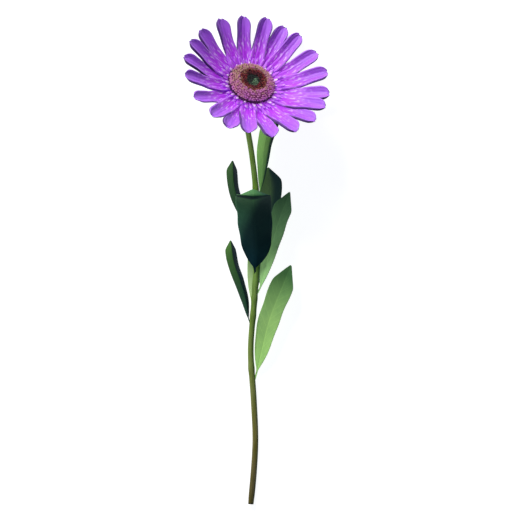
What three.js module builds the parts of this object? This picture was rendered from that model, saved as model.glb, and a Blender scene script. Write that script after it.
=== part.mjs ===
// A cut gerbera lying on a flat surface, in millimetres.
// +Z is up and +Y runs along the stem, from its cut end to the flower head. The head is nodded back on
// its neck, so that it faces up and a little away from the stem. Seven leaves stand along the stem.
// The shapes are drawn with the head over x = 0, y = 0, and the whole flower is then moved so that the
// middle of its box is at x = 0, y = 0 and its lowest point at z = 0.
import * as THREE from "three";

// ---- The flower head ----
const HEAD_CENTRE = [-0.6, -2.0, 21.7]; // middle of the rays' feet
const HEAD_TILT = 37.5; // degrees between the head's axis and straight up
const HEAD_BEARING = 65; // degrees from +X to the way the axis leans

const RAY_COUNT = 20;
const RAY_FIRST = 123.1; // degrees, the first ray's bearing in the head
const RAY_LEAN = [-0.9, -2.7, 0.4, 3.2, 1.4]; // degrees, each group of five is a little uneven
const RAY_FOOT_RADIUS = 12.5;
const RAY_REACH = 58.8;
const RAY_EXTRA_REACH = 1.3; // the rays on one side are a little longer and wider
const RAY_EXTRA_WIDTH = 1.0;
const RAY_EXTRA_BEARING = -30;
const RAY_RISE = 18; // how far the cupped rays lift their tips above their feet
const RAY_CUPPING = 1.42; // power of the rise, so the outer half lifts most
const RAY_WIDTH = 12.4;
const RAY_THICKNESS = 0.6;
const RAY_CHANNEL = 0.11; // edge lift as a share of the half width, where rays overlap
const RAY_TIP_CHANNEL = 0.3; // the same further out, where each ray stands free
const RAY_LAYER_STEP = 1.5; // every second ray lies this much higher, so that neighbours overlap
const PIECE_GAP = 0.4;

const DISC_RADIUS = 18.5;
const DISC_SHIFT = -1.0; // the disc sits a little to the stem's side of the rays' middle
const CROWN_TEETH = 20;
const CROWN_REACH = 26.5;
const SEAT_DEPTH = 0.8; // the receptacle's flat top is this far below the rays' middle

// ---- The scape: the stem with the receptacle that it widens into ----
const STEM_RADIUS = 2.4;
const NECK_RADIUS = 2.2;
const CUP_RADIUS = 15.6;
const CUP_DEPTH = 11;
const STEM_SIDES = 14;
const STEM_STEPS = 34;
const CUP_STEPS = 7;
const STEM_LINE = [
  [-0.2, -336, 2.4],
  [2.2, -310, 2.4],
  [3.5, -284, 2.5],
  [2.2, -252, 2.8],
  [-0.2, -212, 3.4],
  [2.7, -172, 4.2],
  [4.9, -128, 4.8],
  [3.8, -84, 5.2],
  [0.4, -54, 5.0],
  [-2.8, -35, 5.2],
  [-4.9, -23.6, 6.2],
  [-5.2, -14.8, 9.2],
];

// ---- The leaves ----
const LEAF_THICKNESS = 0.7;
const LEAF_STEPS = 12;
const LEAF_SWELL = 4.5; // how quickly a blade widens from its foot
const LEAF_SHOULDER = 0.82; // from here the blade narrows straight to its point
// roll turns a blade about its midrib, right edge up. fold lifts both edges, or lowers them if negative.
const LEAVES = [
  {
    name: "leaf_lower_right",
    width: 22,
    roll: 27,
    fold: 10,
    midrib: [
      [5.1, -228, 3.2], [10.4, -206, 4.4], [14.4, -190, 5.0],
      [19.8, -175, 5.6], [26, -160, 7.4], [32, -144.2, 12.5],
    ],
  },
  {
    name: "leaf_lower_left",
    width: 14,
    roll: -6,
    fold: -50,
    shoulder: 0.9,
    midrib: [
      [-2.2, -186.4, 4.2], [-4.4, -172.8, 5.6], [-8.9, -157.6, 6.2],
      [-13.4, -145, 6.4], [-15.7, -134, 6.2], [-16.4, -124.2, 4.4],
    ],
  },
  {
    name: "leaf_middle_right",
    width: 20,
    roll: 34,
    fold: 10,
    swell: 3.5,
    midrib: [
      [7.8, -161, 4.6], [12.7, -143, 6.0], [17.1, -127, 7.0],
      [21.8, -111, 8.0], [27, -97, 9.6], [31, -85.6, 13.6],
    ],
  },
  {
    name: "leaf_back",
    width: 19,
    roll: -3,
    fold: 3,
    shoulder: 0.9,
    midrib: [[0.6, -172.8, 0.9], [4, -141.6, 1.0], [10.6, -110, 1.0], [15.8, -84, 1.0], [13.8, -65.6, 1.6]],
  },
  {
    name: "leaf_front",
    width: 29,
    roll: 2,
    fold: -14,
    swell: 7.5,
    shoulder: 0.9,
    midrib: [
      [3.0, -145.8, 8.2], [4.0, -130, 14.4], [3.0, -109, 27], [2.0, -95, 38],
      [1.8, -91, 44.6], [1.8, -88.9, 46.2], [1.8, -86.4, 44.8], [1.8, -84, 40],
    ],
  },
  {
    name: "leaf_upper_left",
    width: 14,
    roll: -6,
    fold: -50,
    shoulder: 0.9,
    midrib: [
      [1.6, -121.4, 5.2], [-4.4, -106, 5.8], [-9.6, -95, 6.2],
      [-13.4, -83, 6.4], [-14.8, -71, 6.2], [-14.8, -60.2, 4.4],
    ],
  },
  {
    name: "leaf_upper_right",
    width: 17,
    roll: 8,
    fold: -24,
    swell: 3,
    midrib: [[7.4, -84, 5.4], [8.8, -67.2, 5.4], [10.6, -47, 4.6], [16.6, -26, 4.2], [24.6, -6, 4.0]],
  },
];

// ---- The bracts: two rows of green scales that clasp the receptacle ----
const BRACTS_PER_ROW = 10;
const BRACT_THICKNESS = 0.6;
const BRACT_ROWS = [
  { name: "bract_inner", from: 0.84, to: 0.04, lift: 0.9, halfWidth: 3.7, turn: 0 },
  { name: "bract_outer", from: 0.97, to: 0.4, lift: 1.9, halfWidth: 3.0, turn: 0.5 },
];

// ---- Colours of the plain parts ----
const finish = (color, roughness) => new THREE.MeshStandardMaterial({ color, roughness, metalness: 0 });
const RAY_FINISH = finish(0xa24be0, 0.6);
const CROWN_FINISH = finish(0xc79af0, 0.6);
const OPEN_FLORET_FINISH = finish(0xa0607e, 0.8);
const RING_FINISH = finish(0x6b2a30, 0.8);
const BUD_FINISH = finish(0x3d4a3c, 0.8);
const STEM_FINISH = finish(0x7f9440, 0.6);
const LEAF_FINISH = finish(0x6a9a4a, 0.55);
const BRACT_FINISH = finish(0x5f7f3e, 0.7);

const radians = THREE.MathUtils.degToRad;
const lerp = THREE.MathUtils.lerp;
const flower = new THREE.Group();

const lean = new THREE.Vector3(Math.cos(radians(HEAD_BEARING)), Math.sin(radians(HEAD_BEARING)), 0);
const headAxis = new THREE.Vector3(0, 0, Math.cos(radians(HEAD_TILT)));
headAxis.addScaledVector(lean, Math.sin(radians(HEAD_TILT)));
const headRight = new THREE.Vector3(lean.y, -lean.x, 0);
const headUp = new THREE.Vector3().crossVectors(headAxis, headRight);
const head = new THREE.Group();
head.position.set(...HEAD_CENTRE);
head.quaternion.setFromRotationMatrix(new THREE.Matrix4().makeBasis(headRight, headUp, headAxis));
flower.add(head);

function addPart(parent, name, geometry, material) {
  const mesh = new THREE.Mesh(geometry, material);
  mesh.name = name;
  parent.add(mesh);
}

// Moves every corner of a geometry to where place(x, y, z) says.
function reshape(geometry, place) {
  const corners = geometry.getAttribute("position");
  for (let i = 0; i < corners.count; i += 1) {
    const moved = place(corners.getX(i), corners.getY(i), corners.getZ(i));
    corners.setXYZ(i, moved.x, moved.y, moved.z);
  }
  return geometry;
}

// A thin plate: place gets u from -1 to 1 across, s from 0 to 1 along, and side, -0.5 below to 0.5 above.
function plate(across, along, place) {
  const box = new THREE.BoxGeometry(2, 1, 1, across, along, 1);
  return reshape(box, (u, along01, side) => place(u, along01 + 0.5, side));
}

// A right-handed frame on a curve's tangent: side is level and above points up from the curve.
function frameOn(tangent) {
  const side = new THREE.Vector3().crossVectors(tangent, new THREE.Vector3(0, 0, 1)).normalize();
  const above = new THREE.Vector3().crossVectors(side, tangent);
  return { side, above };
}

const curveThrough = (points) =>
  new THREE.CatmullRomCurve3(points.map((p) => new THREE.Vector3(...p)));

// ---- Scape ----
// The receptacle's radius and height in the head's frame, from 0 at its flat top to 1 at the neck.
const cupRadius = (depth) => NECK_RADIUS + (CUP_RADIUS - NECK_RADIUS) * (1 - depth ** 2) ** 0.8;
const cupHeight = (depth) => -SEAT_DEPTH - CUP_DEPTH * depth;

function scapeGeometry() {
  const onAxis = (height) => head.position.clone().addScaledVector(headAxis, height);
  const neckEnd = onAxis(cupHeight(1));
  const line = curveThrough([...STEM_LINE, neckEnd.toArray(), onAxis(cupHeight(0.5)).toArray()]);
  const neckAt = STEM_LINE.length / (STEM_LINE.length + 1);
  const rings = [];
  for (let i = 0; i <= STEM_STEPS; i += 1) {
    const t = (neckAt * i) / STEM_STEPS;
    const radius = lerp(STEM_RADIUS, NECK_RADIUS, i / STEM_STEPS);
    rings.push({ centre: line.getPoint(t), tangent: line.getTangent(t), radius });
  }
  for (let i = 1; i <= CUP_STEPS; i += 1) {
    const depth = Math.cos((Math.PI / 2) * (i / CUP_STEPS));
    rings.push({ centre: onAxis(cupHeight(depth)), tangent: headAxis, radius: cupRadius(depth) });
  }
  const tube = new THREE.CylinderGeometry(1, 1, 1, STEM_SIDES, rings.length - 1);
  return reshape(tube, (x, y, z) => {
    const ring = rings[Math.round((y + 0.5) * (rings.length - 1))];
    const { side, above } = frameOn(ring.tangent);
    return ring.centre.clone().addScaledVector(side, x * ring.radius).addScaledVector(above, z * ring.radius);
  });
}
addPart(flower, "scape", scapeGeometry(), STEM_FINISH);

// ---- Leaves ----
// Share of the full width at s along the blade: a quick swell, a long even blade and a kite-shaped point.
function leafShare(s, swell, shoulder) {
  const point = 1 - 0.94 * Math.max(0, (s - shoulder) / (1 - shoulder));
  return (0.06 + 0.94 * (1 - Math.exp(-swell * s))) * point;
}

function leafGeometry({ width, roll, fold, swell = LEAF_SWELL, shoulder = LEAF_SHOULDER, midrib }) {
  const curve = curveThrough(midrib);
  return plate(2, LEAF_STEPS, (u, s, side) => {
    const { side: level, above } = frameOn(curve.getTangentAt(s));
    const across = level.clone().multiplyScalar(Math.cos(radians(roll)));
    across.addScaledVector(above, Math.sin(radians(roll)));
    const face = above.clone().multiplyScalar(Math.cos(radians(roll)));
    face.addScaledVector(level, -Math.sin(radians(roll)));
    const halfWidth = (width / 2) * leafShare(s, swell, shoulder);
    const lift = Math.abs(u) * halfWidth * Math.sin(radians(fold)) + side * LEAF_THICKNESS;
    const point = curve.getPointAt(s);
    point.addScaledVector(across, u * halfWidth * Math.cos(radians(fold)));
    return point.addScaledVector(face, lift);
  });
}
for (const leaf of LEAVES) addPart(flower, leaf.name, leafGeometry(leaf), LEAF_FINISH);

// ---- Ray florets ----
const rayBearing = (i) => radians(RAY_FIRST - (i * 360) / RAY_COUNT + RAY_LEAN[i % RAY_LEAN.length]);
const tightestPair = Math.min(
  ...RAY_LEAN.map((d, i) => (2 * 360) / RAY_COUNT + d - RAY_LEAN[(i + 2) % RAY_LEAN.length]),
);

// Rays of the same layer keep clear of each other near their feet. Past that they are evenly wide, and
// the tip is a blunt round.
function rayHalfWidth(s, radius, width) {
  const room = radius * Math.sin(radians(tightestPair / 2)) - PIECE_GAP / 2;
  const tipStart = 0.82;
  const pastTip = Math.max(0, s - tipStart) / (1.005 - tipStart);
  return Math.min(width / 2, room) * Math.sqrt(1 - pastTip ** 2) ** 0.9;
}

function rayGeometry(bearing, layer) {
  const outward = new THREE.Vector3(Math.cos(bearing), Math.sin(bearing), 0);
  const clockwise = new THREE.Vector3(outward.y, -outward.x, 0);
  const favour = Math.cos(bearing - radians(RAY_EXTRA_BEARING));
  const reach = RAY_REACH + RAY_EXTRA_REACH * favour;
  const width = RAY_WIDTH + RAY_EXTRA_WIDTH * favour;
  return plate(4, 14, (u, even, side) => {
    const s = 1 - (1 - even) ** 1.3;
    const radius = lerp(RAY_FOOT_RADIUS, reach, s);
    const halfWidth = rayHalfWidth(s, radius, width);
    const rise = RAY_RISE * s ** RAY_CUPPING;
    const free = THREE.MathUtils.smoothstep(radius, 38.5, 47);
    const channel = lerp(RAY_CHANNEL, RAY_TIP_CHANNEL, free) * halfWidth * u ** 2;
    return outward
      .clone()
      .multiplyScalar(radius)
      .addScaledVector(clockwise, u * halfWidth)
      .setZ(rise + channel + layer * RAY_LAYER_STEP + side * RAY_THICKNESS);
  });
}
for (let i = 0; i < RAY_COUNT; i += 1) {
  const name = `ray_floret_${String(i + 1).padStart(2, "0")}`;
  addPart(head, name, rayGeometry(rayBearing(i), i % 2), RAY_FINISH);
}

// ---- Disc: rings turned about the head's axis from a closed outline of [radius, height] ----
function turned(outline, segments) {
  const points = outline.map(([r, z]) => new THREE.Vector2(r, z));
  return new THREE.LatheGeometry(points, segments).rotateX(Math.PI / 2);
}

const CROWN_OUTLINE = [
  [12.8, 2.6], [18.9, 4.1], [CROWN_REACH, 6.9], [CROWN_REACH, 7.4], [18.7, 4.6], [12.8, 3.1], [12.8, 2.6],
];
const OPEN_FLORET_OUTLINE = [
  [10.9, 3.0], [12.6, 3.6], [17.5, 4.8], [DISC_RADIUS, 5.2], [18.1, 6.6],
  [16.6, 8.7], [14.4, 10.4], [12.4, 11.4], [10.9, 11.6], [10.9, 3.0],
];
const RING_OUTLINE = [
  [5.5, -0.5], [10.5, -0.5], [10.5, 11.5], [8.9, 11.7], [7.1, 11.3], [5.5, 10.7], [5.5, -0.5],
];
const BUD_OUTLINE = [[0, -0.5], [5.1, -0.5], [5.1, 10.3], [3.4, 10.8], [0, 11.1]];

// The short trans florets stand side by side, so the crown's rim is cut into teeth, four steps to each.
function crownGeometry() {
  const toothShare = [1, 0.8, 0.45, 0.8];
  const step = (2 * Math.PI) / (CROWN_TEETH * toothShare.length);
  return reshape(turned(CROWN_OUTLINE, CROWN_TEETH * toothShare.length), (x, y, z) => {
    const radius = Math.hypot(x, y);
    const place = Math.round(Math.atan2(y, x) / step + toothShare.length * CROWN_TEETH);
    const share = radius > DISC_RADIUS + 2 ? toothShare[place % toothShare.length] : 1;
    const reach = lerp(DISC_RADIUS, radius, share) / radius;
    const height = share < 1 ? lerp(z > 7.1 ? 4.6 : 4.1, z, share) : z;
    return new THREE.Vector3(x * reach, y * reach, height);
  });
}
const disc = new THREE.Group();
disc.position.set(0, DISC_SHIFT, 0);
head.add(disc);
addPart(disc, "trans_floret_crown", crownGeometry(), CROWN_FINISH);
addPart(disc, "open_disc_florets", turned(OPEN_FLORET_OUTLINE, 36), OPEN_FLORET_FINISH);
addPart(disc, "unopened_disc_florets", turned(RING_OUTLINE, 30), RING_FINISH);
addPart(disc, "centre_buds", turned(BUD_OUTLINE, 20), BUD_FINISH);

// ---- Bracts ----
// A point off the receptacle's side, lifted square to its surface.
function cupPoint(depth, lift) {
  const small = 0.01;
  const deeper = Math.min(depth, 1 - small);
  const slope = (cupRadius(deeper + small) - cupRadius(deeper)) / small;
  const length = Math.hypot(slope, CUP_DEPTH);
  return [cupRadius(deeper) + (lift * CUP_DEPTH) / length, cupHeight(deeper) + (lift * slope) / length];
}

function bractGeometry(row, bearing) {
  return plate(2, 5, (u, s, side) => {
    const [radius, height] = cupPoint(lerp(row.from, row.to, s), row.lift + side * BRACT_THICKNESS);
    const swell = 0.25 + 0.75 * Math.sin(Math.PI * Math.min(1, s / 0.9 + 0.1)) ** 0.8;
    const room = radius * (Math.PI / BRACTS_PER_ROW) - PIECE_GAP / 2;
    const halfWidth = Math.min(row.halfWidth * (s > 0.8 ? lerp(swell, 0.12, (s - 0.8) / 0.2) : swell), room);
    const angle = bearing + (u * halfWidth) / radius;
    return new THREE.Vector3(radius * Math.cos(angle), radius * Math.sin(angle), height);
  });
}
for (const row of BRACT_ROWS) {
  for (let i = 0; i < BRACTS_PER_ROW; i += 1) {
    const bearing = ((i + row.turn) * 2 * Math.PI) / BRACTS_PER_ROW;
    addPart(head, `${row.name}_${String(i + 1).padStart(2, "0")}`, bractGeometry(row, bearing), BRACT_FINISH);
  }
}

// ---- The finished flower, moved onto its origin ----
flower.updateMatrixWorld(true);
const box = new THREE.Box3().setFromObject(flower, true);
const middle = box.getCenter(new THREE.Vector3());
const part = new THREE.Group();
flower.position.set(-middle.x, -middle.y, -box.min.z);
part.add(flower);

export default part;
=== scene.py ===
# %% [markdown]
# # A cut gerbera
# This lesson builds the looks of one violet gerbera that lies on a pale surface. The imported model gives
# the sizes and places. Each step says what the piece is on the real flower, how it could be made, and
# why it is made this way. All lengths are in millimetres until they go into a mesh, which is in metres.

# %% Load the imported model
import math

import bpy
import numpy as np
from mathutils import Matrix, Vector


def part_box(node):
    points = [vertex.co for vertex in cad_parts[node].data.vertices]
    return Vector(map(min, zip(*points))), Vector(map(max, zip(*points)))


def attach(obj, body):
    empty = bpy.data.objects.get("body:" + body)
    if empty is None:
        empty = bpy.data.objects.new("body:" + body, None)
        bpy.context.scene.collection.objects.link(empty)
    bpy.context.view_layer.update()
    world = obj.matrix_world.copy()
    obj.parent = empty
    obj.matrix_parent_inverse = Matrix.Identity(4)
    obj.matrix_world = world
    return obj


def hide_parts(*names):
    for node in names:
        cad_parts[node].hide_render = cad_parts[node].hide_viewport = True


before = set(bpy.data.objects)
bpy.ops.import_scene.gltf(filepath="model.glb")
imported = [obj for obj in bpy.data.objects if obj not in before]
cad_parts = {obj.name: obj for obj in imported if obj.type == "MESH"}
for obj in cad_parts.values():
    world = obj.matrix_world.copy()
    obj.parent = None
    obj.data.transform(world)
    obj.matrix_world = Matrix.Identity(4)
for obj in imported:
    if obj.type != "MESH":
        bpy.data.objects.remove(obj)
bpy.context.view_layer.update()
MM = 0.001

# %% [markdown]
# ## Where the head is
# The head is nodded back on its neck. Its three directions come from two angles, the nod and the way it
# leans. The buds in the middle are a plug turned about the disc's axis, from 0.5 mm below the feet of
# the petals to 10.3 mm above at its rim, so the middle of their box is 4.9 mm up that axis. The disc
# sits 1 mm off the petals' middle. That gives the head's centre, and the rest of the flower is drawn
# from there.

# %% The head's directions and centre
NOD = math.radians(37.5)
NOD_BEARING = math.radians(65)
lean = np.array([math.cos(NOD_BEARING), math.sin(NOD_BEARING), 0])
head_axis = math.cos(NOD) * np.array([0, 0, 1]) + math.sin(NOD) * lean
head_right = np.array([lean[1], -lean[0], 0])
head_up = np.cross(head_axis, head_right)

buds_low, buds_high = (np.array(corner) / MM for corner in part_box("centre_buds"))
BUDS_MIDDLE = 4.9
DISC_SHIFT = -1.0
head_centre = (buds_low + buds_high) / 2 - BUDS_MIDDLE * head_axis - DISC_SHIFT * head_up
DRAWN_HEAD_CENTRE = np.array([-0.6, -2.0, 21.7])
drawing_shift = head_centre - DRAWN_HEAD_CENTRE
print("head centre, mm:", head_centre.round(2))


def from_head(x, y, z):
    """Turns places in the head's own directions into places in the model."""
    sideways = np.multiply.outer(x, head_right) + np.multiply.outer(y, head_up)
    return head_centre + sideways + np.multiply.outer(z, head_axis)


def from_disc(x, y, z):
    """The same from the disc's own middle."""
    return from_head(x, y + DISC_SHIFT, z)


# %% [markdown]
# ## The camera and the light
# The flower lies down and the camera hangs straight above it on a long lens, so nothing looks tapered.
# The lens is worked out from the side of the square that it frames, 12 mm above the surface.
# The main light is a soft lamp low over the head's end, a little to the left. It models every petal with
# one bright and one dim side. Half of its light comes from a twin without shadows, so the head throws
# only a pale shadow on the leaves below. A weak blue fill stands for the sky of the room, and keeps the
# shade cool.

# %% Camera
CAMERA_HEIGHT = 2.6
FRAMED_HEIGHT = 0.012
FRAME_SIDE = 0.4096
SENSOR_SIDE = 36
view_centre = np.array([4.0, -136.8, 0]) + drawing_shift
camera_data = bpy.data.cameras.new("camera")
camera_data.sensor_width = SENSOR_SIDE
camera_data.lens = SENSOR_SIDE * (CAMERA_HEIGHT - FRAMED_HEIGHT) / FRAME_SIDE
camera = bpy.data.objects.new("camera", camera_data)
camera.location = (view_centre[0] * MM, view_centre[1] * MM, CAMERA_HEIGHT)
bpy.context.scene.collection.objects.link(camera)
bpy.context.scene.camera = camera
print("lens, mm:", round(camera_data.lens, 1))


# %% Lights
def add_lamp(name, towards, strength, softness, colour, shadows=True):
    lamp_data = bpy.data.lights.new(name, "SUN")
    lamp_data.energy = strength
    lamp_data.color = colour
    lamp_data.angle = math.radians(softness)
    lamp_data.use_shadow = shadows
    lamp = bpy.data.objects.new(name, lamp_data)
    lamp.rotation_mode = "QUATERNION"
    lamp.rotation_quaternion = Vector(towards).to_track_quat("Z", "Y")
    bpy.context.scene.collection.objects.link(lamp)


MAIN_LIGHT = dict(towards=(-0.4, 0.8, 0.5), strength=2.2, softness=20, colour=(1.0, 0.99, 0.97))
add_lamp("main_lamp", **MAIN_LIGHT)
add_lamp("shadow_filler", **MAIN_LIGHT, shadows=False)
add_lamp("overhead_lamp", (0.1, 0.1, 1.0), 0.1, 60, (0.8, 0.9, 1.0))
room = bpy.data.worlds.new("room")
room.use_nodes = True
sky = room.node_tree.nodes["Background"].inputs
sky["Color"].default_value = (0.4, 0.68, 1.0, 1)
sky["Strength"].default_value = 0.075
bpy.context.scene.world = room
bpy.context.scene.view_settings.view_transform = "Standard"


# %% [markdown]
# ## Working by hand, in code
# Blender's operators act on whatever is selected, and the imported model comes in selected. So every step
# first clears the selection, then picks its own piece. A modifier is applied as soon as it is added,
# so that each piece is finished geometry.

# %% Small tools
def clear_selection():
    if bpy.context.object and bpy.context.object.mode != "OBJECT":
        bpy.ops.object.mode_set(mode="OBJECT")
    bpy.ops.object.select_all(action="DESELECT")


def pick(piece):
    clear_selection()
    piece.select_set(True)
    bpy.context.view_layer.objects.active = piece


def apply_modifier(piece, kind, **settings):
    pick(piece)
    bpy.ops.object.modifier_add(type=kind)
    modifier = piece.modifiers[-1]
    for key, value in settings.items():
        setattr(modifier, key, value)
    bpy.ops.object.modifier_apply(modifier=modifier.name)


def corners_of(piece):
    flat = np.empty(len(piece.data.vertices) * 3)
    piece.data.vertices.foreach_get("co", flat)
    return flat.reshape(-1, 3)


def move_corners(piece, places_mm):
    piece.data.vertices.foreach_set("co", (np.asarray(places_mm) * MM).ravel())
    piece.data.update()


def tag_points(piece, name, value):
    """Writes one number, or one for each corner, that a finish can read."""
    values = np.broadcast_to(np.asarray(value, np.float32), len(piece.data.vertices))
    field = piece.data.attributes.get(name) or piece.data.attributes.new(name, "FLOAT", "POINT")
    field.data.foreach_set("value", np.ascontiguousarray(values))


def nothing_chosen(piece, kind):
    pick(piece)
    bpy.ops.object.mode_set(mode="EDIT")
    bpy.ops.mesh.select_mode(type=kind)
    bpy.ops.mesh.select_all(action="DESELECT")
    bpy.ops.object.mode_set(mode="OBJECT")


def choose_faces(piece, rule):
    """Goes to edit mode with only the faces selected whose middle and normal fit the rule."""
    nothing_chosen(piece, "FACE")
    for face in piece.data.polygons:
        face.select = rule(face.center, face.normal)
    bpy.ops.object.mode_set(mode="EDIT")


def choose_edges(piece, rule):
    """The same for edges, by the places of their two ends."""
    nothing_chosen(piece, "EDGE")
    places = corners_of(piece)
    for edge in piece.data.edges:
        edge.select = bool(rule(places[edge.vertices[0]], places[edge.vertices[1]]))
    bpy.ops.object.mode_set(mode="EDIT")


def clear_and_add(primitive, name, **settings):
    clear_selection()
    primitive(**settings)
    piece = bpy.context.active_object
    piece.name = name
    piece.data.name = name
    return piece


def close_skin(piece, gap):
    """Merges corners that lie on each other, turns every face outwards and smooths the shading."""
    pick(piece)
    bpy.ops.object.mode_set(mode="EDIT")
    bpy.ops.mesh.select_all(action="SELECT")
    bpy.ops.mesh.remove_doubles(threshold=gap)
    bpy.ops.mesh.normals_make_consistent(inside=False)
    bpy.ops.object.mode_set(mode="OBJECT")
    bpy.ops.object.shade_smooth()


def put_on_flower(piece, nodes, finishes):
    """Gives a piece its finishes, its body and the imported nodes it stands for."""
    for number, finish in enumerate(finishes):
        if number < len(piece.data.materials):
            piece.data.materials[number] = finish
        else:
            piece.data.materials.append(finish)
    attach(piece, "root")
    if nodes:
        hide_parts(*nodes)


def soft_step(value, start, end):
    t = np.clip((value - start) / (end - start), 0, 1)
    return t * t * (3 - 2 * t)


# %% [markdown]
# A stem or a leaf's midrib is a smooth line through a few points. This is the usual curve that passes
# through its own points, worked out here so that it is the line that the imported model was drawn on.

# %% Smooth lines
LINE_STEPS = 40


def smooth_line(points):
    p = np.array(points, float)
    p = np.vstack([2 * p[0] - p[1], p, 2 * p[-1] - p[-2]])
    line = []
    for a, b, c, d in zip(p, p[1:], p[2:], p[3:]):
        t1 = np.linalg.norm(b - a) ** 0.5
        t2 = t1 + np.linalg.norm(c - b) ** 0.5
        t3 = t2 + np.linalg.norm(d - c) ** 0.5
        t = np.linspace(t1, t2, LINE_STEPS, endpoint=False)[:, None]
        first = (t1 - t) / t1 * a + t / t1 * b
        second = (t2 - t) / (t2 - t1) * b + (t - t1) / (t2 - t1) * c
        third = (t3 - t) / (t3 - t2) * c + (t - t2) / (t3 - t2) * d
        left = (t2 - t) / t2 * first + t / t2 * second
        right = (t3 - t) / (t3 - t1) * second + (t - t1) / (t3 - t1) * third
        line.append((t2 - t) / (t2 - t1) * left + (t - t1) / (t2 - t1) * right)
    return np.vstack([*line, p[-2:-1]])


def along_line(line, share):
    """Places and directions at shares of the line's length."""
    steps = np.linalg.norm(np.diff(line, axis=0), axis=1)
    run = np.concatenate([[0], np.cumsum(steps)]) / steps.sum()

    def place_at(where):
        return np.stack([np.interp(np.clip(where, 0, 1), run, line[:, k]) for k in range(3)], -1)

    direction = place_at(share + 0.01) - place_at(share - 0.01)
    return place_at(share), direction / np.linalg.norm(direction, axis=-1, keepdims=True)


def level_and_above(direction):
    level = np.cross(direction, [0, 0, 1])
    level /= np.linalg.norm(level, axis=-1, keepdims=True)
    return level, np.cross(level, direction)


# %% [markdown]
# ## Finishes
# Every finish here is made of nodes, so it has detail at any size. A few short tools keep the node trees
# readable: one adds a node and joins its inputs, one makes a row of colours, one blends two colours, one
# makes noise, and one turns a height into fine relief.

# %% Node tools
def new_finish(name, roughness, specular=0.4):
    finish = bpy.data.materials.new(name)
    finish.use_nodes = True
    shader = finish.node_tree.nodes["Principled BSDF"]
    shader.inputs["Roughness"].default_value = roughness
    shader.inputs["Specular IOR Level"].default_value = specular
    return finish, shader


def add_node(finish, kind, inputs=None, **settings):
    node = finish.node_tree.nodes.new(kind)
    for key, value in settings.items():
        setattr(node, key, value)
    for key, value in (inputs or {}).items():
        if isinstance(value, bpy.types.NodeSocket):
            finish.node_tree.links.new(value, node.inputs[key])
        else:
            node.inputs[key].default_value = value
    return node


def calculate(finish, operation, a, b=0.0, c=0.0):
    return add_node(finish, "ShaderNodeMath", {0: a, 1: b, 2: c}, operation=operation).outputs[0]


def times(finish, a, b):
    return calculate(finish, "MULTIPLY", a, b)


def read_number(finish, name):
    """A number that tag_points has written on the piece's corners."""
    return add_node(finish, "ShaderNodeAttribute", attribute_name=name).outputs["Fac"]


def colour_row(finish, share, stops):
    """A row of colours, each at its place from 0 to 1, read at share."""
    row = add_node(finish, "ShaderNodeValToRGB", {"Fac": share})
    while len(row.color_ramp.elements) < len(stops):
        row.color_ramp.elements.new(1.0)
    for element, (place, colour) in zip(row.color_ramp.elements, stops):
        element.position = place
        element.color = (*colour, 1)
    return row.outputs["Color"]


def blend_colours(finish, share, a, b, how="MIX"):
    """a where share is 0, b where it is 1. Each is a socket or three numbers."""
    a, b = ((*colour, 1) if isinstance(colour, tuple) else colour for colour in (a, b))
    kind = dict(data_type="RGBA", blend_type=how, clamp_factor=True)
    return add_node(finish, "ShaderNodeMix", {0: share, 6: a, 7: b}, **kind).outputs[2]


def grain(finish, stretch, scale, detail=4, roughness=0.55, where=None):
    """Noise on the piece's own coordinates. A scale of 1000 makes one grain a millimetre."""
    if where is None:
        where = add_node(finish, "ShaderNodeTexCoord").outputs["Object"]
    mapping = add_node(finish, "ShaderNodeMapping", {"Vector": where, "Scale": stretch})
    inputs = {"Vector": mapping.outputs[0], "Scale": scale, "Detail": detail, "Roughness": roughness}
    return add_node(finish, "ShaderNodeTexNoise", inputs).outputs["Fac"]


def between(finish, value, low, high):
    """0 below low, 1 above high, smooth between. Where low is the greater of the two it falls."""
    inputs = {"Value": value, "From Min": low, "From Max": high}
    return add_node(finish, "ShaderNodeMapRange", inputs, interpolation_type="SMOOTHSTEP").outputs[0]


def raise_surface(finish, shader, height, distance, strength=1.0):
    inputs = {"Height": height, "Distance": distance * MM, "Strength": strength}
    if shader.inputs["Normal"].links:
        inputs["Normal"] = shader.inputs["Normal"].links[0].from_socket
    bump = add_node(finish, "ShaderNodeBump", inputs)
    finish.node_tree.links.new(bump.outputs[0], shader.inputs["Normal"])


def set_colour(finish, shader, colour):
    finish.node_tree.links.new(colour, shader.inputs["Base Color"])


def vary_roughness(finish, shader, share, low, high):
    rough = add_node(finish, "ShaderNodeMapRange", {"Value": share, "To Min": low, "To Max": high})
    finish.node_tree.links.new(rough.outputs[0], shader.inputs["Roughness"])


def sheet_places(finish):
    """The UV map of a petal or leaf, then across and along it, each from 0 to 1."""
    uv = add_node(finish, "ShaderNodeUVMap")
    split = add_node(finish, "ShaderNodeSeparateXYZ", {"Vector": uv.outputs[0]})
    return uv.outputs[0], split.outputs[0], split.outputs[1]


# %% [markdown]
# ### The floor
# A plain pale card. Most of its brightness is light of its own, as on a lit studio table, so that the
# shade around the flower stays faint.

# %% Floor
card, card_shader = new_finish("pale_card", 0.9, 0.1)
card_shader.inputs["Base Color"].default_value = (0.52, 0.52, 0.52, 1)
card_shader.inputs["Emission Color"].default_value = (0.965, 0.97, 0.985, 1)
card_shader.inputs["Emission Strength"].default_value = 0.78
floor = clear_and_add(bpy.ops.mesh.primitive_plane_add, "floor", size=12)
floor.data.materials.append(card)
print("floor laid")

# %% [markdown]
# ## The stem and the receptacle
# A gerbera's stem is one tube of tissue that widens under the head into a shallow cup, the receptacle.
# It could be a bevelled curve, but a curve can't open into the cup. A cylinder with many rings can do
# both: its long edges are cut twice over, and each ring is then set square to the stem's line. Fine
# ribs run down the outside, and the stem swells a little wherever a leaf grows out of it.

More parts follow.
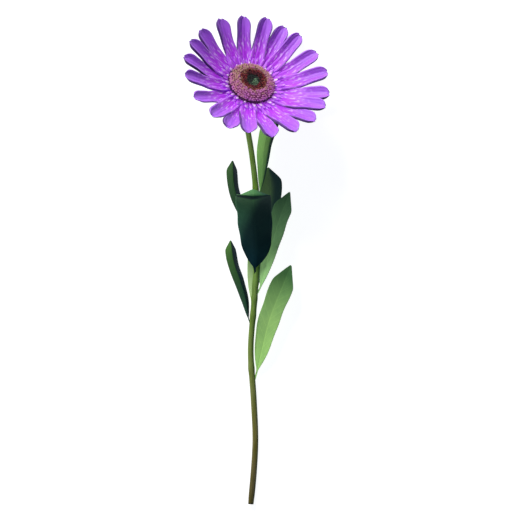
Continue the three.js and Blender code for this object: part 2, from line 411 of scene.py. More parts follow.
# %% The stem's line and the cup's side
STEM_RADIUS = 2.4
NECK_RADIUS = 2.2
CUP_RADIUS = 15.6
CUP_DEPTH = 11
SEAT_DEPTH = 0.8
STEM_POINTS = [
    [-0.2, -336, 2.4], [2.2, -310, 2.4], [3.5, -284, 2.5], [2.2, -252, 2.8],
    [-0.2, -212, 3.4], [2.7, -172, 4.2], [4.9, -128, 4.8], [3.8, -84, 5.2],
    [0.4, -54, 5.0], [-2.8, -35, 5.2], [-4.9, -23.6, 6.2], [-5.2, -14.8, 9.2],
]


def cup_radius(depth):
    return NECK_RADIUS + (CUP_RADIUS - NECK_RADIUS) * (1 - depth**2) ** 0.8


def cup_height(depth):
    return -SEAT_DEPTH - CUP_DEPTH * depth


def on_axis(height):
    return DRAWN_HEAD_CENTRE + height * head_axis


stem_full = smooth_line([*STEM_POINTS, on_axis(cup_height(1)), on_axis(cup_height(0.5))])
stem_line = stem_full[: LINE_STEPS * len(STEM_POINTS) + 1]
print("stem length, mm:", round(float(np.linalg.norm(np.diff(stem_line, axis=0), axis=1).sum()), 1))

# %% A cylinder with many rings
STEM_SIDES = 48
scape = clear_and_add(
    bpy.ops.mesh.primitive_cylinder_add, "scape_stem", vertices=STEM_SIDES, radius=1, depth=1)
for _ in range(2):
    choose_edges(scape, lambda a, b: abs(a[2] - b[2]) > 1e-4)
    bpy.ops.mesh.subdivide(number_cuts=15)
    bpy.ops.object.mode_set(mode="OBJECT")
print("rings:", len(scape.data.polygons) // STEM_SIDES, "faces:", len(scape.data.polygons))

# %% The cut end is inset before the rings are placed
choose_faces(scape, lambda middle, normal: normal.z < -0.9)
bpy.ops.mesh.inset(thickness=0.14)
bpy.ops.mesh.inset(thickness=0.5)
bpy.ops.transform.translate(value=(0, 0, 0.0004))
bpy.ops.object.mode_set(mode="OBJECT")
print("cut end faces:", sum(face.normal.z < -0.9 for face in scape.data.polygons))

# %% Each ring goes to its place
LEAF_NODES_Y = [-228, -186, -161, -172, -146, -121, -84]
NODE_SWELLING, NODE_LENGTH = 0.28, 3.5
CUT_NARROWING, CUT_LENGTH = 0.25, 5
CUP_SHARE = 0.12
STEM_GAP = 0.02
PAINTED_SHADE_SIDE = 0.45


def stem_ring(share):
    """Centre, direction and radius of the ring at a share of the cylinder's height."""
    down_stem = np.clip(share / (1 - CUP_SHARE), 0, 1)
    centre, direction = along_line(stem_line, down_stem)
    radius = STEM_RADIUS + (NECK_RADIUS - STEM_RADIUS) * down_stem
    for y in LEAF_NODES_Y:
        radius = radius + NODE_SWELLING * np.exp(-(((centre[:, 1] - y - 1) / NODE_LENGTH) ** 2))
    past_cut = (centre[:, 1] - STEM_POINTS[0][1]) / CUT_LENGTH
    radius = radius - CUT_NARROWING * np.exp(-(past_cut**2))
    up_cup = np.clip((share - 1 + CUP_SHARE) / CUP_SHARE, 0, 1)
    depth = np.cos(np.pi / 2 * up_cup)
    in_cup = share > 1 - CUP_SHARE
    centre[in_cup] = DRAWN_HEAD_CENTRE + np.multiply.outer(cup_height(depth[in_cup]), head_axis)
    direction[in_cup] = head_axis
    radius[in_cup] = cup_radius(depth[in_cup])
    return centre, direction, radius


start = corners_of(scape)
share = start[:, 2] + 0.5
centre, direction, radius = stem_ring(share)
level, above = level_and_above(direction)
turn = np.arctan2(start[:, 1], start[:, 0])
ribs = 0.05 * np.cos(12 * turn) + 0.03 * np.cos(7 * turn + 9 * share)
wobble = 1 + 0.02 * np.sin(31 * share + 2 * turn)
swell = radius * wobble + ribs * np.clip(radius / NECK_RADIUS, 0, 2)
across = np.hypot(start[:, 0], start[:, 1]) * swell
places = centre + level * (np.cos(turn) * across)[:, None] - above * (np.sin(turn) * across)[:, None]
places[:, 2] = np.maximum(places[:, 2], STEM_GAP - drawing_shift[2])
move_corners(scape, places + drawing_shift)
# The stem's side turned away from the light gets painted shade, a deeper green, through the number depth.
tag_points(scape, "depth", PAINTED_SHADE_SIDE * soft_step(np.cos(turn), 0.35, 0.9) * (share < 1 - CUP_SHARE))
close_skin(scape, 1e-7)
stem_corners = corners_of(scape) / MM
print("stem box, mm:", stem_corners.min(0).round(1), stem_corners.max(0).round(1))

# %% [markdown]
# ### The stem's finish
# Fresh stem skin is satin green with long fine fibres, and it turns olive and brown towards the cut. The
# pattern is noise stretched a long way down the stem. The side turned away from the light is painted
# shade, a deeper green: the number called depth, written on the corners above, says where.

# %% Stem finish
def stem_skin():
    finish, shader = new_finish("stem_skin", 0.55, 0.15)
    where = add_node(finish, "ShaderNodeTexCoord").outputs["Object"]
    split = add_node(finish, "ShaderNodeSeparateXYZ", {"Vector": where})
    up = between(finish, split.outputs[1], -0.2, 0.12)
    base = colour_row(finish, up, [
        (0.0, (0.12, 0.095, 0.04)), (0.1, (0.18, 0.16, 0.05)), (0.3, (0.2, 0.26, 0.07)),
        (0.7, (0.16, 0.3, 0.06)), (1.0, (0.26, 0.42, 0.1))])
    fibres = grain(finish, (1, 0.03, 1), 2200, detail=3)
    patches = grain(finish, (1, 0.2, 1), 160, detail=3)
    dark = blend_colours(finish, 0.5, base, (0.3, 0.42, 0.3), "MULTIPLY")
    fibred = blend_colours(finish, between(finish, fibres, 0.4, 0.7), base, dark)
    patch_share = between(finish, patches, 0.35, 0.75)
    patched = blend_colours(finish, patch_share, fibred, (0.3, 0.33, 0.1), "SOFT_LIGHT")
    # Painted shade: the side away from the light is blended towards this dark green.
    painted_shade_green = (0.02, 0.06, 0.025)
    set_colour(finish, shader, blend_colours(finish, read_number(finish, "depth"), patched, painted_shade_green))
    vary_roughness(finish, shader, fibres, 0.4, 0.65)
    raise_surface(finish, shader, fibres, 0.12, 0.6)
    raise_surface(finish, shader, grain(finish, (1, 0.4, 1), 5200, detail=2), 0.05, 0.5)
    return finish


def cut_pith():
    finish, shader = new_finish("cut_pith", 0.75)
    cells = add_node(finish, "ShaderNodeTexCoord").outputs["Object"]
    spots = add_node(finish, "ShaderNodeTexVoronoi", {"Vector": cells, "Scale": 3200}).outputs["Distance"]
    colour = colour_row(finish, spots, [(0, (0.2, 0.17, 0.07)), (1, (0.42, 0.4, 0.22))])
    set_colour(finish, shader, colour)
    raise_surface(finish, shader, spots, 0.1, 0.8)
    return finish


CUT_END_Y = -0.19
for face in scape.data.polygons:
    face.material_index = 1 if face.normal.y < -0.9 and face.center.y < CUT_END_Y else 0
put_on_flower(scape, ["scape"], [stem_skin(), cut_pith()])
print("stem finished:", len(scape.data.polygons), "faces")

# %% [markdown]
# ## The leaves
# Each leaf is a thin blade that grows out of the stem, follows a midrib line and ends in a blunt point.
# It could be cut from a plane by hand, but seven leaves that lie differently are better grown by one
# rule: a grid is laid along the midrib, and the rule says how wide it is, how it folds about the midrib
# and how its edges wave. Solidify gives the blade its thickness, and one level of subdivision rounds it.
# Angles are in degrees, and foot, middle and tip are the greens along the blade, partly the leaf's own
# tone and partly painted light and shade: lighter where a leaf faces the light, darker where it is
# turned away or shaded. On some leaves the half turned away from the light is painted shade, a deeper
# green: its dict of painted shade says where across the blade that begins and ends, and how strong it
# is. The front leaf arches up and folds over, so its painted shade slants across the blade, and a strip
# of painted shade lies just before the crease.

# %% The seven leaves
# The foot, middle and tip greens hold painted light and shade as well as each leaf's own tone.
LEAVES = {
    "leaf_lower_right": dict(
        width=22, roll=27, fold=10, swell=4.5, shoulder=0.82,
        foot=(0.36, 0.65, 0.18), middle=(0.27, 0.47, 0.14), tip=(0.065, 0.17, 0.055),
        midrib=[[5.1, -228, 3.2], [10.4, -206, 4.4], [14.4, -190, 5.0],
                [19.8, -175, 5.6], [26, -160, 7.4], [32, -144.2, 12.5]]),
    "leaf_lower_left": dict(
        width=14, roll=-6, fold=-50, swell=4.5, shoulder=0.9,
        painted_shade=dict(start=0.0, end=0.25, amount=0.95),
        foot=(0.018, 0.06, 0.04), middle=(0.025, 0.085, 0.03), tip=(0.06, 0.155, 0.03),
        midrib=[[-2.2, -186.4, 4.2], [-4.4, -172.8, 5.6], [-8.9, -157.6, 6.2],
                [-13.4, -145, 6.4], [-15.7, -134, 6.2], [-16.4, -124.2, 4.4]]),
    "leaf_middle_right": dict(
        width=20, roll=34, fold=10, swell=3.5, shoulder=0.82,
        foot=(0.4, 0.72, 0.26), middle=(0.11, 0.23, 0.09), tip=(0.05, 0.125, 0.055),
        midrib=[[7.8, -161, 4.6], [12.7, -143, 6.0], [17.1, -127, 7.0],
                [21.8, -111, 8.0], [27, -97, 9.6], [31, -85.6, 13.6]]),
    "leaf_back": dict(
        width=19, roll=-3, fold=3, swell=4.5, shoulder=0.9,
        painted_shade=dict(start=-0.3, end=0.5, amount=0.85),
        foot=(0.75, 0.98, 0.45), middle=(0.16, 0.32, 0.11), tip=(0.1, 0.18, 0.07),
        midrib=[[0.6, -172.8, 0.9], [4, -141.6, 1.0], [10.6, -110, 1.0],
                [15.8, -84, 1.0], [13.8, -65.6, 1.6]]),
    "leaf_front": dict(
        width=29, roll=2, fold=-14, swell=7.5, shoulder=0.9,
        painted_shade=dict(start=-0.3, end=0.6, amount=0.85, slant=3.0, crease=0.9),
        foot=(0.004, 0.05, 0.055), middle=(0.09, 0.29, 0.17), tip=(0.07, 0.2, 0.065),
        midrib=[[3.0, -145.8, 8.2], [4.0, -130, 14.4], [3.0, -109, 27], [2.0, -95, 38],
                [1.8, -91, 44.6], [1.8, -88.9, 46.2], [1.8, -86.4, 44.8], [1.8, -84, 40]]),
    "leaf_upper_left": dict(
        width=14, roll=-6, fold=-50, swell=4.5, shoulder=0.9,
        painted_shade=dict(start=0.0, end=0.25, amount=0.95),
        foot=(0.018, 0.06, 0.04), middle=(0.022, 0.07, 0.03), tip=(0.04, 0.105, 0.028),
        midrib=[[1.6, -121.4, 5.2], [-4.4, -106, 5.8], [-9.6, -95, 6.2],
                [-13.4, -83, 6.4], [-14.8, -71, 6.2], [-14.8, -60.2, 4.4]]),
    "leaf_upper_right": dict(
        width=17, roll=8, fold=-24, swell=3, shoulder=0.82,
        painted_shade=dict(start=0.45, end=0.75, amount=0.9),
        foot=(0.2, 0.45, 0.12), middle=(0.3, 0.6, 0.15), tip=(0.2, 0.42, 0.1),
        midrib=[[7.4, -84, 5.4], [8.8, -67.2, 5.4], [10.6, -47, 4.6],
                [16.6, -26, 4.2], [24.6, -6, 4.0]]),
}
LEAF_THICKNESS = 0.55
LEAF_GRID = (16, 64)
LEAF_VEINS = 13
VEIN_SLANT = 1.5
VEIN_HEIGHT = 0.1
GROOVE_DEPTH = 0.28
GROOVE_WIDTH = 0.55
FOOT_STEPS = 12


def leaf_places(across, along, width, roll, fold, swell, shoulder, midrib, wave_seed, **_):
    """Places of a leaf's corners. across is from -1 to 1 and along from 0 to 1."""
    # The foot starts inside the stem, further down than the leaf comes free of it.
    line = smooth_line(midrib)
    nearest = stem_line[np.argmin(np.linalg.norm(stem_line - line[0], axis=1))]
    root = nearest + (line[0] - line[LINE_STEPS // 2]) * 1.2
    root = stem_line[np.argmin(np.linalg.norm(stem_line - root, axis=1))]
    foot = np.linspace(root, line[0], FOOT_STEPS, endpoint=False)
    whole = np.vstack([foot, line])
    lengths = np.linalg.norm(np.diff(whole, axis=0), axis=1)
    foot_share = lengths[:FOOT_STEPS].sum() / lengths.sum()
    place, direction = along_line(whole, along)
    level, above = level_and_above(direction)
    # It swells from a narrow foot, and is blunted past its shoulder.
    s = np.clip((along - foot_share) / (1 - foot_share), 0, 1)
    past_shoulder = (s - shoulder) / (1 - shoulder)
    point = 1 - 0.94 * (past_shoulder + np.sqrt(past_shoulder**2 + 0.01)) / 2
    half = width / 2 * (0.06 + 0.94 * (1 - np.exp(-swell * s))) * point
    # It rolls about the midrib, and its halves fold up or down from it.
    roll_angle = math.radians(roll) * soft_step(along, 0, 0.2)
    fold_angle = math.radians(fold) * soft_step(along, 0, 0.12)
    side = level * np.cos(roll_angle)[:, None] + above * np.sin(roll_angle)[:, None]
    face = above * np.cos(roll_angle)[:, None] - level * np.sin(roll_angle)[:, None]
    rounded = np.sqrt(across**2 + 0.004) - 0.063
    lift = rounded * half * np.sin(fold_angle)
    # Wavy edges, a groove over the midrib, and raised side veins
    lift += 0.035 * half * across**2 * np.sin(2 * np.pi * (3.1 * along + wave_seed) + across)
    groove = np.exp(-((across * half / GROOVE_WIDTH) ** 2))
    lift -= GROOVE_DEPTH * groove * soft_step(along, 0.02, 0.1) * (1 - along)
    veins = np.abs(((along * LEAF_VEINS - np.abs(across) * VEIN_SLANT) % 1) - 0.5) * 2
    off_midrib = soft_step(np.abs(across), 0.05, 0.2)
    lift += VEIN_HEIGHT * soft_step(veins, 0.5, 1.0) * off_midrib * (1 - np.abs(across) ** 3)
    edge = 1 + 0.02 * np.sin(2 * np.pi * (4.3 * along + 2 * wave_seed)) * np.abs(across)
    moved = place + side * (across * half * np.cos(fold_angle) * edge)[:, None] + face * lift[:, None]
    return moved + drawing_shift


# %% A finish for leaves, shaded from foot to tip
def leaf_painted_shade(across, along, start=0.0, end=1.0, amount=0.0, slant=0.0, crease=2.0):
    """How much painted shade a place gets: the half turned away from the light, and the strip before a
    crease.
    """
    turned = soft_step(across - slant * (along - 0.8), start, end)
    before_crease = soft_step(along, crease - 0.06, crease - 0.035)
    after_crease = soft_step(along, crease - 0.01, crease + 0.01)
    return amount * np.maximum(turned, before_crease * (1 - after_crease))


def leaf_skin(name, foot, middle, tip, under):
    finish, shader = new_finish(name, 0.6, 0.1)
    _, across, along = sheet_places(finish)
    if under:
        foot, middle, tip = (tuple(0.7 * c + 0.015 for c in shade) for shade in (foot, middle, tip))
    # This row of greens is partly the leaf's own tone and partly painted light and shade.
    base = colour_row(finish, along, [(0.12, foot), (0.5, middle), (0.92, tip)])
    from_midrib = calculate(finish, "ABSOLUTE", calculate(finish, "SUBTRACT", across, 0.5))
    vein_run = times(finish, along, LEAF_VEINS)
    slanted = calculate(finish, "MULTIPLY_ADD", from_midrib, -2 * VEIN_SLANT, vein_run)
    saw = calculate(finish, "SUBTRACT", calculate(finish, "FRACT", slanted), 0.5)
    vein = between(finish, calculate(finish, "ABSOLUTE", saw), 0.42, 0.5)
    midrib = between(finish, from_midrib, 0.035, 0.012)
    blotches = grain(finish, (1, 0.5, 1), 130, detail=5)
    cells = grain(finish, (1, 1, 1), 1500, detail=3)
    paler = blend_colours(finish, 1.0, base, (1.7, 1.6, 1.5), "MULTIPLY")
    darker = blend_colours(finish, 1.0, base, (0.5, 0.6, 0.75), "MULTIPLY")
    blotched = times(finish, between(finish, blotches, 0.4, 0.75), 0.35)
    colour = blend_colours(finish, blotched, base, darker)
    colour = blend_colours(finish, times(finish, vein, 0.22), colour, paler)
    colour = blend_colours(finish, times(finish, midrib, 0.3), colour, paler)
    colour = blend_colours(finish, times(finish, cells, 0.3), colour, darker)
    # Painted shade: the half turned away from the light and the strip before a crease go near-black
    # blue-green.
    depth = times(finish, read_number(finish, "depth"), 0.2 if under else 1.0)
    set_colour(finish, shader, blend_colours(finish, depth, colour, (0.002, 0.02, 0.036)))
    vary_roughness(finish, shader, blotches, 0.45, 0.68)
    raise_surface(finish, shader, vein, -0.12, 0.5)
    raise_surface(finish, shader, cells, 0.06, 0.5)
    return finish


# %% Grow the leaves
def grow_sheet(name, columns, rows):
    """A flat grid from -1 to 1 across and 0 to 1 along, ready to be shaped."""
    sheet = clear_and_add(
        bpy.ops.mesh.primitive_grid_add, name, x_subdivisions=columns, y_subdivisions=rows, size=1)
    for _ in range(2):  # a place for the finish of each side
        sheet.data.materials.append(None)
    flat = corners_of(sheet)
    return sheet, flat[:, 0] * 2, flat[:, 1] + 0.5


# The rim can take the underside's finish; on the petals that finish is painted shade.
def thicken(sheet, thickness, rounds=1, painted_shade_rim=False):
    sides = dict(material_offset=1, material_offset_rim=1 if painted_shade_rim else 0)
    apply_modifier(sheet, "SOLIDIFY", thickness=thickness * MM, offset=0, **sides)
    if rounds:
        apply_modifier(sheet, "SUBSURF", levels=rounds, render_levels=rounds)
    pick(sheet)
    bpy.ops.object.shade_smooth()


for number, (name, leaf) in enumerate(LEAVES.items()):
    blade, across, along = grow_sheet(name + "_blade", *LEAF_GRID)
    move_corners(blade, leaf_places(across, along, wave_seed=0.37 * number, **leaf))
    # The number depth on each leaf is its painted shade.
    tag_points(blade, "depth", leaf_painted_shade(across, along, **leaf.get("painted_shade", {})))
    thicken(blade, LEAF_THICKNESS)
    shades = (leaf["foot"], leaf["middle"], leaf["tip"])
    upper = leaf_skin(name + "_upper_skin", *shades, under=False)
    lower = leaf_skin(name + "_lower_skin", *shades, under=True)
    put_on_flower(blade, [name], [upper, lower])
    lowest = corners_of(blade)[:, 2].min() / MM
    print(name, len(blade.data.polygons), "faces, lowest mm:", round(lowest, 2))

# %% [markdown]
# ## The ray florets
# The twenty big petals are each one floret: a tongue with a few lengthwise pleats, cupped up along its
# length, channelled across, and blunt and finely toothed. Both margins roll down, and one of them rolls
# further under into a fold that is painted near-black as shade. The petals sit in two layers, so that
# every second one lies over its neighbours. All twenty come from one rule with a little change in each,
# because real petals are never copies of each other. The head is a little lopsided too: reach, width and
# bearing vary slowly round it.

# %% Petal sizes
RAY_COUNT = 20
RAY_FIRST = 123.1
RAY_LEAN = [-0.9, -2.7, 0.4, 3.2, 1.4]
RAY_FOOT_RADIUS = 12.5
RAY_REACH = 59.6
RAY_WIDTH = 12.8
RAY_RISE = 18
RAY_CUPPING = 1.42
RAY_LAYER_STEP = 1.5
RAY_SHOULDER = 0.82
RAY_SIDE_GAP = 0.2
RAY_TABLE_GAP = 0.1
RAY_THICKNESS = 0.5
RAY_GRID = (20, 44)
PLEATS_PER_HALF, PLEAT_HEIGHT = 2, 0.12
TEETH_PER_HALF, TOOTH_LENGTH = 1.5, 0.8
FREE_RADII = (38, 47)
# The petals nearest this bearing are longer and wider than the mean, those opposite the reverse.
RAY_EXTRA_REACH = 2.1
RAY_EXTRA_WIDTH = 1.0
RAY_EXTRA_BEARING = math.radians(-30)
# The lowest petals get this much on top.
LOW_REACH = 1.8
LOW_WIDTH = 0.6
LOW_BEARING = math.radians(240)
# Petals near one bearing swing on round the head, those near the other one swing back.
SWING = math.radians(2.2)
SWING_BEARING = math.radians(225)
BACK_BEARING = math.radians(105)
# On this side of the head the anticlockwise margin rolls under, on the far side the clockwise one.
TURNED_BEARING = math.radians(142)
# The tips are cut slantwise, most of all at this bearing and, the other way, opposite it.
SLANT_BEARING = math.radians(150)
RAY_PAIR_STEP = min(36 + a - RAY_LEAN[(i + 2) % 5] for i, a in enumerate(RAY_LEAN))


def ray_bearing(i):
    return math.radians(RAY_FIRST - i * 360 / RAY_COUNT + RAY_LEAN[i % 5])


def ray_surface(radius, layer=0):
    share = np.clip((radius - RAY_FOOT_RADIUS) / (RAY_REACH - RAY_FOOT_RADIUS), 0, 1)
    return RAY_RISE * share**RAY_CUPPING + layer * RAY_LAYER_STEP


print("closest petals of one layer, degrees:", round(RAY_PAIR_STEP, 1))


# %% How one petal is shaped
def turned_side(bearing):
    """1 where a petal's clockwise margin is the one rolled under, -1 where it is the other one."""
    return np.clip(-2.5 * math.cos(bearing - TURNED_BEARING), -1, 1)


def margin_painted_shade(across, even, bearing):
    """How much painted shade a place on a petal gets in the fold of its rolled margin, from 0 to 1."""
    return soft_step(across * turned_side(bearing), 0.66, 0.95) * soft_step(even, 0.2, 0.45)


def ray_places(across, even, bearing, layer, chance):
    """Places of a petal's corners. across is from -1 to 1, even from 0 at the foot to 1 at the tip."""
    wave, tooth, lift, twist, droop, sideways = chance
    s = 1 - (1 - even) ** 1.3
    # Reach, width and bearing vary round the head.
    favour = math.cos(bearing - RAY_EXTRA_BEARING)
    low = max(0, math.cos(bearing - LOW_BEARING))
    reach = RAY_REACH + RAY_EXTRA_REACH * favour + LOW_REACH * low
    width = RAY_WIDTH + RAY_EXTRA_WIDTH * favour + LOW_WIDTH * low
    forward = max(0, math.cos(bearing - SWING_BEARING))
    backward = max(0, math.cos(bearing - BACK_BEARING)) ** 2
    bearing = bearing + SWING * (1.2 * forward - 0.6 * backward)
    radius = RAY_FOOT_RADIUS + (reach - RAY_FOOT_RADIUS) * s
    # Near the disc the next petal of the layer leaves little room. Past the shoulder the tip is round.
    room = radius * math.sin(math.radians(RAY_PAIR_STEP / 2)) - RAY_SIDE_GAP
    past_shoulder = np.clip((s - RAY_SHOULDER) / (1.005 - RAY_SHOULDER), 0, 1)
    half = np.minimum(width / 2, room) * np.sqrt(1 - past_shoulder**2) ** 0.9
    half = half * (1 + 0.03 * np.sin(9 * s + 6 * wave))
    half = half * (1 - 0.06 * max(0, -favour) * np.exp(-(((s - 0.66) / 0.13) ** 2)))
    # A channel runs along it, deeper where it is free of its neighbours, and its margins roll down.
    free = soft_step(radius, *FREE_RADII)
    edge = np.abs(across)
    channel = (0.21 + 0.25 * free) * half * np.minimum(edge / 0.84, 1) ** 2.6
    roll = 0.8 + 0.5 * free + 1.0 * soft_step(across * turned_side(bearing), 0, 0.3)
    channel = channel - roll * np.clip((edge - 0.78) / 0.22, 0, 1) ** 2 * np.minimum(1, half / 5)
    # Pleats along its length, and teeth at its tip
    pleats = PLEAT_HEIGHT * np.cos(2 * np.pi * PLEATS_PER_HALF * across)
    pleats = pleats * soft_step(s, 0.05, 0.3) * (1 - across**4) * (1 - 0.5 * soft_step(s, 0.85, 1.0))
    tooth_turn = 2 * np.pi * TEETH_PER_HALF * (across + 0.12 * (tooth - 0.5))
    teeth = (0.5 - 0.5 * np.cos(tooth_turn)) * soft_step(s, 0.9, 1.0)
    # Each petal's own lift, twist, droop and sway
    outer = soft_step(s, 0.4, 1)
    height = ray_surface(radius, layer) + channel + pleats
    height = height + (lift - 0.5) * 1.6 * s**3 + (twist - 0.5) * 1.2 * across * outer
    height = height - 0.9 * soft_step(s, 0.8, 1.0) * droop
    sway = (sideways - 0.5) * 1.2 * outer + math.cos(bearing) * np.sin(np.pi * s) ** 2
    # The tip is cut at a slant that turns with the bearing.
    slant = 0.28 * half * across * math.cos(bearing - SLANT_BEARING) * soft_step(s, 0.7, 1.0)
    radius = radius - TOOTH_LENGTH * teeth * (half > 0.01) - slant - 0.35 * np.abs(slant)
    outward = (math.cos(bearing), math.sin(bearing))
    clockwise = (outward[1], -outward[0])
    x = radius * outward[0] + (across * half + sway) * clockwise[0]
    y = radius * outward[1] + (across * half + sway) * clockwise[1]
    return from_head(x, y, height)


# %% [markdown]
# ### Petal finish
# A gerbera petal is satin: velvety cells over five or so parallel veins. It is magenta-violet near the
# disc and lilac further out. Pale flecks gather over the inner half. The margins are painted paler, a
# painted highlight on their raised edges, and the fold of the rolled margin is painted near-black violet
# as shade. The underside is duller, and painted far darker as shade, as is the petal's rim. The pattern
# follows the petal, so it is laid out on the petal's own across and along.

# %% Petal finish
PETAL_VEINS = 5


def petal_skin(name, under=False):
    finish, shader = new_finish(name, 0.5, 0.35)
    uv, across, along = sheet_places(finish)
    top = [
        (0.0, (0.14, 0.006, 0.26)), (0.1, (0.4, 0.012, 0.7)), (0.34, (0.46, 0.022, 0.8)),
        (0.58, (0.38, 0.06, 0.74)), (0.85, (0.42, 0.115, 0.82)), (1.0, (0.48, 0.16, 0.9))]
    # The underside colours are painted shade, far darker than the petal's own violet.
    below = [(0.0, (0.02, 0.01, 0.06)), (0.5, (0.03, 0.012, 0.12)), (1.0, (0.06, 0.02, 0.2))]
    base = colour_row(finish, along, below if under else top)
    from_middle = calculate(finish, "ABSOLUTE", calculate(finish, "MULTIPLY_ADD", across, 2.0, -1.0))
    # Painted highlight: both margins are made paler, as if their raised edges caught the light.
    margin = times(finish, between(finish, from_middle, 0.55, 0.95), 0.0 if under else 0.35)
    colour = blend_colours(finish, margin, base, (0.62, 0.3, 0.95))
    wave = calculate(finish, "SINE", times(finish, across, 2 * math.pi * PETAL_VEINS))
    pleat = calculate(finish, "MULTIPLY_ADD", wave, 0.5, 0.5)
    streaks = grain(finish, (30, 3, 1), 1.0, detail=3, where=uv)
    pale_streaks = times(finish, between(finish, streaks, 0.5, 0.75), 0.25)
    deep_streaks = times(finish, between(finish, streaks, 0.5, 0.25), 0.45)
    colour = blend_colours(finish, pale_streaks, colour, (0.66, 0.4, 0.95))
    colour = blend_colours(finish, deep_streaks, colour, (0.2, 0.015, 0.5))
    flecks = grain(finish, (12, 12, 1), 1.0, detail=1, roughness=0.4, where=uv)
    inner = times(finish, between(finish, along, 0.04, 0.12), between(finish, along, 0.8, 0.4))
    fleck_share = times(finish, between(finish, flecks, 0.54, 0.7), inner)
    fleck_share = times(finish, fleck_share, 0.0 if under else 0.75)
    colour = blend_colours(finish, fleck_share, colour, (0.74, 0.46, 0.92))
    cells = grain(finish, (1, 1, 1), 2600, detail=2)
    colour = blend_colours(finish, times(finish, cells, 0.3), colour, (0.16, 0.02, 0.42))
    # Painted shade: the fold of the rolled margin, read from depth, goes near-black violet.
    ragged_painted_shade = calculate(finish, "MULTIPLY_ADD", streaks, 0.8, -0.4)
    ragged_painted_shade = calculate(finish, "ADD", read_number(finish, "depth"), ragged_painted_shade)
    painted_fold_shade = times(finish, between(finish, ragged_painted_shade, 0.3, 0.7), 0.0 if under else 0.9)
    set_colour(finish, shader, blend_colours(finish, painted_fold_shade, colour, (0.04, 0.008, 0.12)))
    vary_roughness(finish, shader, streaks, 0.4, 0.62)
    shader.inputs["Sheen Weight"].default_value = 0.15
    shader.inputs["Sheen Roughness"].default_value = 0.4
    raise_surface(finish, shader, pleat, 0.12, 0.5)
    raise_surface(finish, shader, streaks, 0.15, 0.6)
    raise_surface(finish, shader, cells, 0.04, 0.5)
    return finish


petal_top = petal_skin("petal_top")
# The underside finish, with its near-black violet, is painted shade.
petal_under_painted_shade = petal_skin("petal_under_painted_shade", under=True)
print("petal finishes made")

# %% Grow the petals
CHANCE_SEED = 7
chances = np.random.default_rng(CHANCE_SEED)
for i in range(RAY_COUNT):
    petal, across, along = grow_sheet(f"ray_petal_{i + 1:02d}", *RAY_GRID)
    move_corners(petal, ray_places(across, along, ray_bearing(i), i % 2, chances.random(6)))
    # depth marks the painted shade in each petal's margin fold.
    tag_points(petal, "depth", margin_painted_shade(across, along, ray_bearing(i)))
    thicken(petal, RAY_THICKNESS, painted_shade_rim=True)
    resting = corners_of(petal) / MM
    resting[:, 2] = np.maximum(resting[:, 2], RAY_TABLE_GAP)
    move_corners(petal, resting)
    put_on_flower(petal, [f"ray_floret_{i + 1:02d}"], [petal_top, petal_under_painted_shade])
print("petals:", RAY_COUNT, "faces each:", len(petal.data.polygons))

# %% [markdown]
# ## The trans florets
# Just outside the disc stands a ring of short, narrow petals, the trans florets, paler than the rays.
# The shorter ones are almost white at their tips. Each length is shaped once from a small grid, and the
# ring is copies of both, turned about the head's axis and laid just above the big petals.

# %% One short floret
SHORT_FOOT_RADIUS = 16.2
SHORT_GRID = (2, 7)
SHORT_THICKNESS = 0.25


def short_floret(name, length, width, lift, **_):
    sheet, across, along = grow_sheet(name, *SHORT_GRID)
    radius = SHORT_FOOT_RADIUS + length * along
    half = width / 2 * (0.55 + 0.45 * np.sin(np.pi * np.clip(along * 0.9 + 0.1, 0, 1)))
    half = half * np.sqrt(np.maximum(0, 1 - np.clip((along - 0.7) / 0.31, 0, 1) ** 2))
    height = ray_surface(radius) + lift + 0.35 * np.abs(across) * half + 1.2 * along**2
    move_corners(sheet, np.stack([radius, across * half, height], -1))
    thicken(sheet, SHORT_THICKNESS, rounds=0)
    return sheet


# %% [markdown]
# A small piece is drawn once, pointing along +X from the disc's axis. Each copy has its own mesh, which
# is sized, tipped, moved outward and up, and turned to its bearing. The copies are then joined into one
# piece with the join operator, and the pattern pieces are thrown away.

# %% Set copies on the head and join them
def set_on_head(pattern, bearing, scale, up, outward=0.0, tip=0.0):
    """One copy of the pattern, set over the disc's middle unless it is moved outward."""
    x, y, z = (corners_of(pattern) / MM * scale).T
    tipped = x * math.cos(tip) + z * math.sin(tip) + outward
    height = z * math.cos(tip) - x * math.sin(tip) + up
    turned_x = tipped * math.cos(bearing) - y * math.sin(bearing)
    turned_y = tipped * math.sin(bearing) + y * math.cos(bearing)
    copy = bpy.data.objects.new(pattern.name + "_copy", pattern.data.copy())
    bpy.context.scene.collection.objects.link(copy)
    move_corners(copy, from_disc(turned_x, turned_y, height))
    return copy


def join_copies(copies, name):
    clear_selection()
    for copy in copies:
        copy.select_set(True)
    bpy.context.view_layer.objects.active = copies[0]
    bpy.ops.object.join()
    joined = bpy.context.active_object
    joined.name = name
    joined.data.name = name
    return joined


def throw_away(*pieces):
    for piece in pieces:
        bpy.data.objects.remove(piece, do_unlink=True)


# %% The ring of short florets
SHORT_FLORETS = [
    dict(name="long_short_floret", count=40, length=9.5, width=2.6, lift=2.6),
    dict(name="small_short_floret", count=20, length=6.0, width=2.2, lift=3.2),
]
crown_patterns = []
crown_copies = []
for row, kind in enumerate(SHORT_FLORETS):
    count = kind["count"]
    pattern = short_floret(**kind)
    crown_patterns.append(pattern)
    for i in range(count):
        bearing = 2 * math.pi * (i + 0.37 * row + 0.35 * (chances.random() - 0.5)) / count
        size = 1 + 0.16 * (chances.random() - 0.5)
        copy = set_on_head(pattern, bearing, size, up=0.5 * chances.random())
        tag_points(copy, "shade", float(row))
        crown_copies.append(copy)
crown = join_copies(crown_copies, "trans_floret_ring")
throw_away(*crown_patterns)
print("short florets:", len(crown_copies), "faces:", len(crown.data.polygons))


